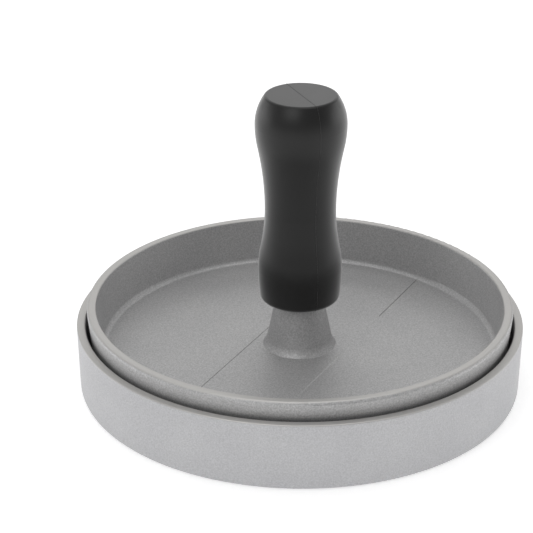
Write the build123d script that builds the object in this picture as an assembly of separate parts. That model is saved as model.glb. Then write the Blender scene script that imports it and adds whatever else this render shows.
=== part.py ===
"""Burger press: a round mould, a grooved press that drops into it, and a screwed-on waisted grip.

Millimetres, +Z up. The origin is the middle of the mould's underside, on the surface it stands on.
"""

import os
from math import copysign, radians, sqrt, tan

from build123d import *

# Mould, the lower pan
MOULD_RIM_R = 60.0
MOULD_HEIGHT = 18.8
MOULD_WALL = 2.3
MOULD_FLOOR = 5.4
MOULD_OUTER_DRAFT = 1.5
MOULD_INNER_DRAFT = 2.0
MOULD_FOOT_ROUND = 1.8
MOULD_CORNER_ROUND = 1.5
MOULD_RIM_ROUND = 0.4
FOOT_RING_WIDTH = 8.0
FOOT_RECESS = 0.8
RECESS_ROUND_SHARE = 0.4

# Press, the upper pan, which passes down inside the mould's mouth
PRESS_GAP = 0.45
PRESS_HEIGHT = 18.2
PRESS_WALL = 2.5
PRESS_FLOOR = 5.4
PRESS_DRAFT = 6.0
PRESS_FOOT_ROUND = 0.8
PRESS_CORNER_ROUND = 1.4
PRESS_LIP_ROUND = 0.8
PRESS_EDGE_ROUND = 0.4

# Boss, cast in one piece with the press
BOSS_HEIGHT = 13.8
BOSS_FOOT_R = 9.9
BOSS_FLARE_RISE = 1.5
BOSS_FLARE_R = 8.9
BOSS_TOP_R = 6.4
BOSS_FOOT_FILLET = 0.4
BOSS_FLARE_ROUND = 4.0
BOSS_TOP_ROUND = 0.3

# Grooves, in the mould's floor and in the underside of the press
GROOVE_COUNT = 7
GROOVE_PITCH = 12.5
GROOVE_WIDTH = 6.0
GROOVE_DEPTH = 1.4
GROOVE_REACH = 45.5
PRESS_TURN = 64.0

# Stud, which joins the boss and the grip
STUD_R = 4.0
STUD_LENGTH = 30.0
STUD_CHAMFER = 0.8
STUD_CLEARANCE = 0.05
BOSS_HOLE_DEPTH = 12.0

# Insert, moulded into the foot of the grip
INSERT_R = 6.0
INSERT_LENGTH = 16.0
INSERT_GROOVE_WIDTH = 3.0
INSERT_GROOVE_DEPTH = 0.8

# Grip: radii, and the rise from each ring to the next, from the foot up
GRIP_FOOT_R = 10.5
GRIP_FOOT_ROUND = 1.5
BARREL_RISE = 8.9
BARREL_R = 11.2
WAIST_RISE = 16.8
WAIST_R = 9.42
BULB_RISE = 24.1
BULB_R = 12.05
CROWN_RISE = 7.9
CROWN_R = 9.4
CROWN_ROUND = 0.9

# How far from the waist to each bulge its side turns from hollow to full
BARREL_TURN = 0.65
BULB_TURN = 0.735

# Pocket in the grip for the stud's end
POCKET_CLEARANCE = 0.4
POCKET_END_GAP = 1.5

# Levels that follow from these sizes
MOUTH_R = MOULD_RIM_R - MOULD_WALL
FLOOR_Z = MOULD_FLOOR
PRESS_FLOOR_Z = FLOOR_Z + PRESS_FLOOR
BOSS_TOP_Z = PRESS_FLOOR_Z + BOSS_HEIGHT
STUD_Z = BOSS_TOP_Z - BOSS_HOLE_DEPTH


def lean(height, draft):
    """How far a wall leans in over a height at a draft in degrees."""
    return height * tan(radians(draft))


def turned(*outline):
    """The solid that an outline of edges, drawn as radius and height, makes around Z."""
    return revolve(Plane.XZ * make_face(Curve() + list(outline)), Axis.Z)


def turned_polygon(points, rounds):
    """The turned solid of a polygon that starts and ends on the axis, its other corners rounded."""
    sides = FilletPolyline(*points, radius=rounds)
    return turned(sides, Line(sides @ 1, sides @ 0))


def plug(foot_z, depth, radius):
    """A plain cylinder on the axis, standing on a level."""
    return Pos(0, 0, foot_z) * Cylinder(radius, depth, align=(Align.CENTER, Align.CENTER, Align.MIN))


def groove_bars(face_z, side):
    """Round-ended bars that cut the row of grooves into a flat face; side is +1 up, -1 down."""
    bar_r = (GROOVE_WIDTH**2 / 4 + GROOVE_DEPTH**2) / (2 * GROOVE_DEPTH)
    axis_z = face_z + side * (bar_r - GROOVE_DEPTH)
    bars = []
    for index in range(GROOVE_COUNT):
        offset = (index - (GROOVE_COUNT - 1) / 2) * GROOVE_PITCH
        straight = sqrt(GROOVE_REACH**2 - offset**2) - GROOVE_WIDTH / 2
        bar = Rot(0, 90, 0) * Cylinder(bar_r, 2 * straight)
        for end in (-straight, straight):
            bar += Pos(end, 0, 0) * Sphere(bar_r)
        bars.append(Pos(0, offset, axis_z) * bar)
    return bars


def mould():
    """The lower pan, with a foot ring under it and the grooves in its floor."""
    foot_r = MOULD_RIM_R - lean(MOULD_HEIGHT, MOULD_OUTER_DRAFT)
    corner_r = MOUTH_R - lean(MOULD_HEIGHT - FLOOR_Z, MOULD_INNER_DRAFT)
    recess_r = foot_r - FOOT_RING_WIDTH
    points = (
        (0, FOOT_RECESS),
        (recess_r, FOOT_RECESS),
        (recess_r, 0),
        (foot_r, 0),
        (MOULD_RIM_R, MOULD_HEIGHT),
        (MOUTH_R, MOULD_HEIGHT),
        (corner_r, FLOOR_Z),
        (0, FLOOR_Z),
    )
    recess_round = FOOT_RECESS * RECESS_ROUND_SHARE
    rounds = [
        recess_round,
        recess_round,
        MOULD_FOOT_ROUND,
        MOULD_RIM_ROUND,
        MOULD_RIM_ROUND,
        MOULD_CORNER_ROUND,
    ]
    return turned_polygon(points, rounds) - groove_bars(FLOOR_Z, 1)


def press_plate():
    """The upper pan with its boss, the blind hole for the stud, and the grooves underneath."""
    rim_z = FLOOR_Z + PRESS_HEIGHT
    rim_r = MOUTH_R - PRESS_GAP
    foot_r = rim_r - lean(PRESS_HEIGHT, PRESS_DRAFT)
    corner_r = rim_r - PRESS_WALL - lean(PRESS_HEIGHT - PRESS_FLOOR, PRESS_DRAFT)
    points = (
        (0, FLOOR_Z),
        (foot_r, FLOOR_Z),
        (rim_r, rim_z),
        (rim_r - PRESS_WALL, rim_z),
        (corner_r, PRESS_FLOOR_Z),
        (BOSS_FOOT_R, PRESS_FLOOR_Z),
        (BOSS_FLARE_R, PRESS_FLOOR_Z + BOSS_FLARE_RISE),
        (BOSS_TOP_R, BOSS_TOP_Z),
        (0, BOSS_TOP_Z),
    )
    rounds = [
        PRESS_FOOT_ROUND,
        PRESS_LIP_ROUND,
        PRESS_EDGE_ROUND,
        PRESS_CORNER_ROUND,
        BOSS_FOOT_FILLET,
        BOSS_FLARE_ROUND,
        BOSS_TOP_ROUND,
    ]
    casting = turned_polygon(points, rounds)
    casting -= [Rot(0, 0, PRESS_TURN) * bar for bar in groove_bars(FLOOR_Z, -1)]
    return casting - plug(STUD_Z, BOSS_HOLE_DEPTH, STUD_R + STUD_CLEARANCE)


def stud():
    """The stud as a plain rod of its thread's outer size, chamfered at both ends."""
    rod = plug(STUD_Z, STUD_LENGTH, STUD_R)
    return chamfer(rod.edges().filter_by(GeomType.CIRCLE), STUD_CHAMFER)


def insert_blank():
    """The insert's outside, with the groove that locks it into the moulding."""
    waist_r = INSERT_R - INSERT_GROOVE_DEPTH
    low = BOSS_TOP_Z + (INSERT_LENGTH - INSERT_GROOVE_WIDTH) / 2
    high = low + INSERT_GROOVE_WIDTH
    top = BOSS_TOP_Z + INSERT_LENGTH
    points = (
        (0, BOSS_TOP_Z),
        (INSERT_R, BOSS_TOP_Z),
        (INSERT_R, low),
        (waist_r, low),
        (waist_r, high),
        (INSERT_R, high),
        (INSERT_R, top),
        (0, top),
    )
    return turned(Polyline(*points, close=True))


def handle_insert():
    """The threaded insert, as a plain bore of the thread's outer size."""
    return insert_blank() - plug(BOSS_TOP_Z, INSERT_LENGTH, STUD_R + STUD_CLEARANCE)


def ogee(hollow, bulge, turn):
    """Two tangent arcs, upright at both ends, from a hollow ring to a bulging one."""
    upright = (0, copysign(1, bulge.Y - hollow.Y))
    first = TangentArc(hollow, hollow + (bulge - hollow) * turn, tangent=upright)
    second = TangentArc(first @ 1, bulge, tangent=first % 1)
    return first, second


def grip_blank():
    """The grip's outside: flat foot, barrel, waist, bulb and a flat crown, all on tangent arcs."""
    foot = Vector(GRIP_FOOT_R, BOSS_TOP_Z)
    barrel = Vector(BARREL_R, foot.Y + BARREL_RISE)
    waist = Vector(WAIST_R, barrel.Y + WAIST_RISE)
    bulb = Vector(BULB_R, waist.Y + BULB_RISE)
    crown = Vector(CROWN_R, bulb.Y + CROWN_RISE)
    blank = turned(
        Line((0, foot.Y), foot),
        TangentArc(barrel, foot, tangent=(0, -1)),
        *ogee(waist, barrel, BARREL_TURN),
        *ogee(waist, bulb, BULB_TURN),
        TangentArc(bulb, crown, tangent=(0, 1)),
        Line(crown, (0, crown.Y)),
        Line((0, crown.Y), (0, foot.Y)),
    )
    for end, rounding in ((0, GRIP_FOOT_ROUND), (-1, CROWN_ROUND)):
        rings = blank.edges().filter_by(GeomType.CIRCLE).sort_by(Axis.Z)
        blank = fillet(rings[end], rounding)
    return blank


def handle():
    """The grip, moulded around the insert, with a pocket above it for the stud's end."""
    pocket_depth = STUD_LENGTH - BOSS_HOLE_DEPTH + POCKET_END_GAP
    pocket = plug(BOSS_TOP_Z, pocket_depth, STUD_R + POCKET_CLEARANCE)
    return grip_blank() - insert_blank() - pocket


def write_parts():
    """Each piece as its own STEP file, where it sits when the press is closed."""
    os.makedirs("parts", exist_ok=True)
    for piece in (mould, press_plate, stud, handle_insert, handle):
        export_step(piece(), f"parts/{piece.__name__}.step")


write_parts()
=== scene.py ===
"""The looks of a burger press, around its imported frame: cast aluminium, black moulded grip, studio light.

Metres, +Z up, in the frame's own place. Sizes come from the frame, and the rest is named below.
"""

from math import cos, dist, hypot, radians, sin, sqrt

import bmesh
import bpy
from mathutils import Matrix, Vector

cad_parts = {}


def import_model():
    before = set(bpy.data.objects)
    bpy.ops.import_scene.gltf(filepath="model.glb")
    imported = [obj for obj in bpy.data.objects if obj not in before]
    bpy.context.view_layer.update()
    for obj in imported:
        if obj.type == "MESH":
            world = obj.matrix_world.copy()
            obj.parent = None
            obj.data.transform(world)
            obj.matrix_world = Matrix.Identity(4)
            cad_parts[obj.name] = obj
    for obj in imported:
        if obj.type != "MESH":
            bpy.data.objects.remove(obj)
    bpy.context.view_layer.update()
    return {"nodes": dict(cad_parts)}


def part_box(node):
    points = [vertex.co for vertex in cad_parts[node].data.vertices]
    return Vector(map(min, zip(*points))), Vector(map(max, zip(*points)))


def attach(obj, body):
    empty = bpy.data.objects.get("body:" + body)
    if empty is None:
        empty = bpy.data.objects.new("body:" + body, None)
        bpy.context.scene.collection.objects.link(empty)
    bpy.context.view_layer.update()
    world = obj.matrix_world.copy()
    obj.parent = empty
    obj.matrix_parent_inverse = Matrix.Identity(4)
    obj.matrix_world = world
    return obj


MM = 0.001
WHITE = (1, 1, 1)

# Camera, at the photograph's distance and height
CAMERA_PLACE = (0.0, -489.96 * MM, 263.18 * MM)
CAMERA_DOWN = 0.438265
CAMERA_LEFT = 0.018252
FOCAL_PX = 2025.7
PHOTO_PX = 533
SENSOR_MM = 36.0

# Floor, just below the object, which glows only for the camera and in reflections, and the even world
FLOOR_HALF = 6.0
FLOOR_DROP = 0.05 * MM
FLOOR_TONE = (0.82, 0.82, 0.82)
FLOOR_ROUGHNESS = 0.9
FLOOR_GLOW = 0.5
WORLD_STRENGTH = 0.38

# Lamps: what they face, the watts a square metre at brightness 1, then each one's name, place, width,
# height and brightness
LAMP_AIM = (0.0, 0.0, 0.03)
LAMP_WATTS = 4.0
SOFTBOXES = (
    ("top_softbox", (0.0, 0.1, 1.3), 1.2, 1.2, 0.85),
    ("back_softbox", (0.0, 1.2, 0.65), 1.8, 0.7, 0.53),
    ("front_softbox", (-0.5, -0.9, 0.9), 0.8, 0.6, 1.6),
    ("left_softbox", (-1.0, 0.3, 0.2), 0.8, 0.4, 1.2),
    ("right_softbox", (1.0, 0.3, 0.2), 0.8, 0.4, 1.2),
)

# Surface noise: its turn, so that no flat face lies along its grid, the span that holds most of its
# values, and the layers of detail in a fine grain and in wide clouds
NOISE_TURN = (0.5, 0.3, 0.8)
NOISE_SPAN = (0.3, 0.7)
GRAIN_DETAIL = 2
CLOUD_DETAIL = 3

# Coated casting: grain and clouds, with scales in features a metre, and gloss from the grain's pits up
GRAIN_SCALE = 2600
GRAIN_SPAN = (0.32, 0.68)
GRAIN_DEPTH = 0.04 * MM
GRAIN_STRENGTH = 0.2
CAST_CLOUD_SCALE = 70
CAST_CLOUD_PLACE = (0.3, 0.1, 0.7)
CAST_CLOUD_DARK = (0.95, 0.95, 0.955)
CAST_METALLIC = 0.8
CAST_ROUGHNESS = (0.62, 0.54)

# Tones of the two castings and of the dark lines of painted shade at the band's joints, and how far the
# grain departs from them
MOULD_TONE = (0.55, 0.55, 0.56)
MOULD_CONTRAST = 0.08
PRESS_TONE = (0.51, 0.508, 0.508)
PRESS_CONTRAST = 0.15
SEAM_SHADE_TONE = (0.22, 0.22, 0.215)
SEAM_CONTRAST = 0.1

# Rims of the castings, with a lighter tone as a painted highlight and a smoother gloss: where their height
# is read, how far below it the painted highlight is full, and its look
RIM_IN = 1.2 * MM
RIM_HIGHLIGHT_DEPTH = 0.1 * MM
RIM_FADE = 0.25 * MM
RIM_HIGHLIGHT_TONE = (0.56, 0.55, 0.535)
RIM_ROUGHNESS = 0.5

# Black moulding: a faint texture, two near tones, and a satin gloss with a soft sheen
PLASTIC_SCALE = 4200
PLASTIC_DEPTH = 0.02 * MM
PLASTIC_STRENGTH = 0.1
PLASTIC_CLOUD_SCALE = 60
PLASTIC_CLOUD_PLACE = (0.2, 0.8, 0.4)
PLASTIC_DARK = (0.004, 0.004, 0.004)
PLASTIC_LIGHT = (0.006, 0.0059, 0.0057)
PLASTIC_ROUGHNESS = (0.36, 0.42)
PLASTIC_SPECULAR = 0.4
PLASTIC_SHEEN = 0.8
PLASTIC_SHEEN_ROUGHNESS = 0.35

# Turned metal of the hidden stud and insert
STEEL_TONE = (0.62, 0.62, 0.61)
BRASS_TONE = (0.8, 0.6, 0.28)
RING_SCALE = 800
RING_DISTORTION = 0.6
RING_DARK_SHARE = 0.8
RING_ROUGHNESS = (0.3, 0.4)

# Low band that the die leaves across the press floor: how far it reaches to each side of the middle, how
# high it stands, how deep its foot is sunk, the width of each edge, and how far in from the rim it ends
WITNESS_TURN = radians(64.0)
WITNESS_LEFT = 11.5 * MM
WITNESS_RIGHT = 12.8 * MM
WITNESS_RISE = 0.08 * MM
WITNESS_SUNK = 0.1 * MM
WITNESS_STEEP = 0.08 * MM
WITNESS_SOFT = 0.6 * MM
WITNESS_END_IN = 4.8 * MM
WITNESS_STEPS = 24

# Share of the band's reach at which the height of the press floor is read
FLOOR_PROBE_SHARE = 0.5

# Dark lines of painted shade at the band's joints: name, place left of the middle, and the share of the
# chord they start at
SEAM_WIDTH = 0.18 * MM
SEAM_RISE = 0.02 * MM
SEAMS = (("left", WITNESS_LEFT, 0.0), ("right", -WITNESS_RIGHT, 0.74))

# Parting line of the grip's moulding; the grip's bore lies within the core's share of its radius
PARTING_TURN = radians(-65.4)
PARTING_WIDTH = 0.28 * MM
PARTING_RISE = 0.05 * MM
PARTING_SUNK = 0.05 * MM
PARTING_STEP = 0.25 * MM
GRIP_CORE_SHARE = 0.625


def look_direction():
    """The camera's forward direction."""
    level = cos(CAMERA_DOWN)
    return Vector((-sin(CAMERA_LEFT) * level, cos(CAMERA_LEFT) * level, -sin(CAMERA_DOWN)))


def add_camera():
    """The camera at the photograph's viewing angle."""
    data = bpy.data.cameras.new("camera")
    data.sensor_width = SENSOR_MM
    data.lens = FOCAL_PX / PHOTO_PX * SENSOR_MM
    camera = bpy.data.objects.new("camera", data)
    camera.location = CAMERA_PLACE
    camera.rotation_euler = look_direction().to_track_quat("-Z", "Y").to_euler()
    bpy.context.scene.collection.objects.link(camera)
    bpy.context.scene.camera = camera


def add_softbox(name, place, width, height, brightness):
    """A soft lamp that faces the middle of the object; brightness 1 shows as white in a mirror."""
    data = bpy.data.lights.new(name, "AREA")
    data.shape = "RECTANGLE"
    data.size = width
    data.size_y = height
    data.energy = LAMP_WATTS * width * height * brightness
    lamp = bpy.data.objects.new(name, data)
    lamp.location = place
    aim = Vector(LAMP_AIM) - Vector(place)
    lamp.rotation_euler = aim.to_track_quat("-Z", "Y").to_euler()
    bpy.context.scene.collection.objects.link(lamp)


def add_light():
    """Plain soft studio light: an even world, and wide lamps above, behind, in front and at each side."""
    world = bpy.data.worlds.new("studio")
    world.use_nodes = True
    background = world.node_tree.nodes["Background"]
    background.inputs["Color"].default_value = (*WHITE, 1)
    background.inputs["Strength"].default_value = WORLD_STRENGTH
    bpy.context.scene.world = world
    for name, place, width, height, brightness in SOFTBOXES:
        add_softbox(name, place, width, height, brightness)


def new_material(name):
    """A material with its node tree and its shader."""
    material = bpy.data.materials.new(name)
    material.use_nodes = True
    tree = material.node_tree
    return material, tree, tree.nodes["Principled BSDF"]


def set_inputs(node, values):
    """Sets a node's inputs by their names."""
    for name, value in values.items():
        node.inputs[name].default_value = value


def white_floor():
    """White that glows for the camera and in reflections, so that it renders white and keeps a shadow."""
    material, tree, shader = new_material("floor_white")
    set_inputs(shader, {
        "Base Color": (*FLOOR_TONE, 1),
        "Roughness": FLOOR_ROUGHNESS,
        "Specular IOR Level": 0.0,
    })
    glow = tree.nodes.new("ShaderNodeEmission")
    glow.inputs["Strength"].default_value = FLOOR_GLOW
    both = tree.nodes.new("ShaderNodeAddShader")
    choose = tree.nodes.new("ShaderNodeMixShader")
    path = tree.nodes.new("ShaderNodeLightPath")
    seen = tree.nodes.new("ShaderNodeMath")
    seen.operation = "MAXIMUM"
    tree.links.new(path.outputs["Is Camera Ray"], seen.inputs[0])
    tree.links.new(path.outputs["Is Glossy Ray"], seen.inputs[1])
    tree.links.new(seen.outputs[0], choose.inputs[0])
    tree.links.new(shader.outputs[0], choose.inputs[1])
    tree.links.new(shader.outputs[0], both.inputs[0])
    tree.links.new(glow.outputs[0], both.inputs[1])
    tree.links.new(both.outputs[0], choose.inputs[2])
    tree.links.new(choose.outputs[0], tree.nodes["Material Output"].inputs["Surface"])
    return material


def add_floor():
    """A plain floor just under the object, as far as the camera sees."""
    signs = ((-1, -1), (1, -1), (1, 1), (-1, 1))
    corners = [(x * FLOOR_HALF, y * FLOOR_HALF, -FLOOR_DROP) for x, y in signs]
    mesh = bpy.data.meshes.new("floor")
    mesh.from_pydata(corners, [], [(0, 1, 2, 3)])
    mesh.materials.append(white_floor())
    floor = bpy.data.objects.new("floor", mesh)
    bpy.context.scene.collection.objects.link(floor)


def noise_value(tree, scale, detail, offset=(0, 0, 0)):
    """A noise of the object's own place, with a scale in features a metre."""
    place = tree.nodes.new("ShaderNodeTexCoord")
    shift = tree.nodes.new("ShaderNodeMapping")
    set_inputs(shift, {"Location": offset, "Rotation": NOISE_TURN})
    noise = tree.nodes.new("ShaderNodeTexNoise")
    set_inputs(noise, {"Scale": scale, "Detail": detail})
    tree.links.new(place.outputs["Object"], shift.inputs["Vector"])
    tree.links.new(shift.outputs["Vector"], noise.inputs["Vector"])
    return noise.outputs["Fac"]


def ramp(tree, value, span, dark, light):
    """A colour that runs from dark to light as a value runs over a span."""
    node = tree.nodes.new("ShaderNodeValToRGB")
    first, last = node.color_ramp.elements
    first.position, last.position = span
    first.color = (*dark, 1)
    last.color = (*light, 1)
    tree.links.new(value, node.inputs["Fac"])
    return node.outputs["Color"]


def spread(tree, value, span, target):
    """A value mapped from one span to another."""
    node = tree.nodes.new("ShaderNodeMapRange")
    set_inputs(node, {"From Min": span[0], "From Max": span[1], "To Min": target[0], "To Max": target[1]})
    tree.links.new(value, node.inputs["Value"])
    return node.outputs["Result"]


def multiply_colors(tree, first, second):
    """Two colours multiplied."""
    node = tree.nodes.new("ShaderNodeMix")
    node.data_type = "RGBA"
    node.blend_type = "MULTIPLY"
    node.inputs["Factor"].default_value = 1.0
    tree.links.new(first, node.inputs["A"])
    tree.links.new(second, node.inputs["B"])
    return node.outputs["Result"]


def mix_values(tree, share, first, second):
    """A value that runs from the first to the second as the share goes from 0 to 1."""
    node = tree.nodes.new("ShaderNodeMix")
    tree.links.new(share, node.inputs["Factor"])
    tree.links.new(first, node.inputs["A"])
    node.inputs["B"].default_value = second
    return node.outputs["Result"]


def mix_colors(tree, share, first, second):
    """A colour that runs from the first to the second as the share goes from 0 to 1."""
    node = tree.nodes.new("ShaderNodeMix")
    node.data_type = "RGBA"
    tree.links.new(share, node.inputs["Factor"])
    tree.links.new(first, node.inputs["A"])
    node.inputs["B"].default_value = (*second, 1)
    return node.outputs["Result"]


def height_share(tree, low, high):
    """0 below a height on the object, 1 above another."""
    place = tree.nodes.new("ShaderNodeTexCoord")
    split = tree.nodes.new("ShaderNodeSeparateXYZ")
    tree.links.new(place.outputs["Object"], split.inputs["Vector"])
    return spread(tree, split.outputs["Z"], (low, high), (0, 1))


def add_bump(tree, shader, height, strength, depth):
    """A bump of a given depth in metres on the shader's normal."""
    bump = tree.nodes.new("ShaderNodeBump")
    set_inputs(bump, {"Strength": strength, "Distance": depth})
    tree.links.new(height, bump.inputs["Height"])
    tree.links.new(bump.outputs["Normal"], shader.inputs["Normal"])


def scaled(tone, share):
    """A tone made lighter or darker by a share."""
    return tuple(channel * share for channel in tone)


def cast_aluminium(name, tone, contrast, rim_z=None):
    """Silver-grey coated casting with a fine flaked grain; its rim, if it has one, takes a lighter tone as
    a painted highlight and a smoother gloss.
    """
    material, tree, shader = new_material(name)
    grain = noise_value(tree, GRAIN_SCALE, GRAIN_DETAIL)
    cloud = noise_value(tree, CAST_CLOUD_SCALE, CLOUD_DETAIL, CAST_CLOUD_PLACE)
    flakes = ramp(tree, grain, GRAIN_SPAN, scaled(tone, 1 - contrast), scaled(tone, 1 + contrast))
    mottling = ramp(tree, cloud, NOISE_SPAN, CAST_CLOUD_DARK, WHITE)
    color = multiply_colors(tree, flakes, mottling)
    roughness = spread(tree, grain, NOISE_SPAN, CAST_ROUGHNESS)
    # The rim band is painted lighter, as a highlight, and made smoother.
    if rim_z:
        share = height_share(tree, rim_z - RIM_HIGHLIGHT_DEPTH - RIM_FADE, rim_z - RIM_HIGHLIGHT_DEPTH)
        color = mix_colors(tree, share, color, RIM_HIGHLIGHT_TONE)
        roughness = mix_values(tree, share, roughness, RIM_ROUGHNESS)
    tree.links.new(color, shader.inputs["Base Color"])
    tree.links.new(roughness, shader.inputs["Roughness"])
    shader.inputs["Metallic"].default_value = CAST_METALLIC
    add_bump(tree, shader, grain, GRAIN_STRENGTH, GRAIN_DEPTH)
    return material


def black_plastic():
    """Satin black moulding: a faint spark-eroded texture and slightly uneven gloss."""
    material, tree, shader = new_material("black_plastic")
    texture = noise_value(tree, PLASTIC_SCALE, GRAIN_DETAIL)
    cloud = noise_value(tree, PLASTIC_CLOUD_SCALE, CLOUD_DETAIL, PLASTIC_CLOUD_PLACE)
    color = ramp(tree, cloud, NOISE_SPAN, PLASTIC_DARK, PLASTIC_LIGHT)
    roughness = spread(tree, cloud, NOISE_SPAN, PLASTIC_ROUGHNESS)
    tree.links.new(color, shader.inputs["Base Color"])
    tree.links.new(roughness, shader.inputs["Roughness"])
    set_inputs(shader, {
        "Specular IOR Level": PLASTIC_SPECULAR,
        "Sheen Weight": PLASTIC_SHEEN,
        "Sheen Roughness": PLASTIC_SHEEN_ROUGHNESS,
    })
    add_bump(tree, shader, texture, PLASTIC_STRENGTH, PLASTIC_DEPTH)
    return material


def turned_metal(name, tone):
    """A turned metal whose fine rings run round the axis."""
    material, tree, shader = new_material(name)
    place = tree.nodes.new("ShaderNodeTexCoord")
    rings = tree.nodes.new("ShaderNodeTexWave")
    rings.wave_type = "BANDS"
    rings.bands_direction = "Z"
    set_inputs(rings, {"Scale": RING_SCALE, "Distortion": RING_DISTORTION})
    tree.links.new(place.outputs["Object"], rings.inputs["Vector"])
    color = ramp(tree, rings.outputs["Fac"], (0, 1), scaled(tone, RING_DARK_SHARE), tone)
    roughness = spread(tree, rings.outputs["Fac"], (0, 1), RING_ROUGHNESS)
    tree.links.new(color, shader.inputs["Base Color"])
    tree.links.new(roughness, shader.inputs["Roughness"])
    shader.inputs["Metallic"].default_value = 1.0
    return material


def level_at(node, radius):
    """The height of a node's upper surface at a distance from the axis."""
    return node.ray_cast((radius, 0, 1), (0, 0, -1))[1].z


def rim_level(node):
    """The height of a casting's rim."""
    return level_at(node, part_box(node.name)[1].x - RIM_IN)


def outer_profile(node, least_radius):
    """Radius and height down a turned node's outside, from its top edge to its foot."""
    places = [(hypot(*vertex.co.xy), vertex.co.z) for vertex in node.data.vertices]
    outside = [place for place in places if place[0] > least_radius]
    profile = []
    for place in sorted(outside, key=lambda place: (-place[1], place[0])):
        if not profile or dist(place, profile[-1]) > PARTING_STEP:
            profile.append(place)
    return profile


def add_bar(name, rings, material):
    """A closed bar through rings of four points, which rides the press."""
    points = [point for ring in rings for point in ring]
    faces = [range(4), range(len(points) - 4, len(points))]
    for start in range(0, len(points) - 4, 4):
        for corner in range(4):
            first = start + corner
            second = start + (corner + 1) % 4
            faces.append((first, second, second + 4, first + 4))
    mesh = bpy.data.meshes.new(name)
    mesh.from_pydata(points, [], faces)
    shell = bmesh.new()
    shell.from_mesh(mesh)
    bmesh.ops.recalc_face_normals(shell, faces=shell.faces)
    shell.to_mesh(mesh)
    shell.free()
    mesh.materials.append(material)
    piece = bpy.data.objects.new(name, mesh)
    bpy.context.scene.collection.objects.link(piece)
    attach(piece, "press")


def add_parting_line(handle, material):
    """The fine line that the two halves of its mould leave on the grip, up one side and down the other."""
    side = outer_profile(handle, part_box(handle.name)[1].x * GRIP_CORE_SHARE)
    path = [(-radius, height) for radius, height in reversed(side)] + side
    out = Vector((cos(PARTING_TURN), sin(PARTING_TURN), 0))
    up = Vector((0, 0, 1))
    half = out.cross(up) * PARTING_WIDTH / 2
    rings = []
    for index, (along, height) in enumerate(path):
        before = path[max(index - 1, 0)]
        after = path[min(index + 1, len(path) - 1)]
        step = Vector((after[0] - before[0], after[1] - before[1])).normalized()
        proud = step.x * up - step.y * out
        middle = along * out + height * up
        base = middle - proud * PARTING_SUNK
        crest = middle + proud * PARTING_RISE
        rings.append((base - half, crest - half / 2, crest + half / 2, base + half))
    add_bar("grip_parting_line", rings, material)


def add_floor_bar(name, press_plate, columns, start, material):
    """A bar along the band on the press floor, through columns that each have a place and a rise.

    A place is a distance left of the middle. The bar runs from a share of each chord to its far end.
    """
    end_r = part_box(press_plate.name)[1].x - WITNESS_END_IN
    floor_z = level_at(press_plate, end_r * FLOOR_PROBE_SHARE)
    along = Vector((cos(WITNESS_TURN), sin(WITNESS_TURN), 0))
    left = Vector((-along.y, along.x, 0))
    low = Vector((0, 0, floor_z - WITNESS_SUNK))
    rings = []
    for place, rise in columns:
        reach = sqrt(end_r**2 - place**2)
        near = left * place + along * reach * (2 * start - 1)
        far = left * place + along * reach
        top = Vector((0, 0, floor_z + rise))
        rings.append((near + low, near + top, far + top, far + low))
    add_bar(name, rings, material)


def add_witness_band(press_plate, material):
    """The low band that the die leaves across the press floor, steep on its left and soft on its right."""
    step = (WITNESS_LEFT + WITNESS_RIGHT) / WITNESS_STEPS
    soft_edge = (-WITNESS_RIGHT - WITNESS_SOFT, -WITNESS_SUNK / 2)
    flat = [(index * step - WITNESS_RIGHT, WITNESS_RISE) for index in range(WITNESS_STEPS + 1)]
    steep_edge = (WITNESS_LEFT + WITNESS_STEEP, -WITNESS_SUNK / 2)
    columns = [soft_edge, *flat, steep_edge]
    add_floor_bar("press_witness_band", press_plate, columns, 0.0, material)


def add_seam_shade_lines(press_plate):
    """Dark lines of painted shade, as in narrow crevices, along both edges of the band, just proud of it.
    """
    # A dark aluminium tone, painted as the shade of narrow crevices along the band's edges.
    painted_shade = cast_aluminium("seam_painted_shade", SEAM_SHADE_TONE, SEAM_CONTRAST)
    for side, middle, start in SEAMS:
        places = (middle - SEAM_WIDTH / 2, middle + SEAM_WIDTH / 2)
        columns = [(place, WITNESS_RISE + SEAM_RISE) for place in places]
        add_floor_bar(f"press_seam_shade_{side}", press_plate, columns, start, painted_shade)


def finish_nodes(nodes, press_aluminium, plastic):
    """Gives each piece of the frame its own material."""
    materials = {
        "mould": cast_aluminium("mould_aluminium", MOULD_TONE, MOULD_CONTRAST, rim_level(nodes["mould"])),
        "press_plate": press_aluminium,
        "handle": plastic,
        "stud": turned_metal("stud_steel", STEEL_TONE),
        "handle_insert": turned_metal("insert_brass", BRASS_TONE),
    }
    for name, material in materials.items():
        mesh = nodes[name].data
        mesh.materials.clear()
        mesh.materials.append(material)


def main():
    """Builds the studio, the materials and the fine trim around the frame."""
    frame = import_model()
    add_camera()
    add_light()
    add_floor()
    nodes = frame["nodes"]
    press_plate = nodes["press_plate"]
    press_rim_z = rim_level(press_plate)
    press_aluminium = cast_aluminium("press_aluminium", PRESS_TONE, PRESS_CONTRAST, press_rim_z)
    plastic = black_plastic()
    finish_nodes(nodes, press_aluminium, plastic)
    add_parting_line(nodes["handle"], plastic)
    add_witness_band(press_plate, press_aluminium)
    add_seam_shade_lines(press_plate)
    bpy.context.scene.view_settings.view_transform = "Standard"


main()
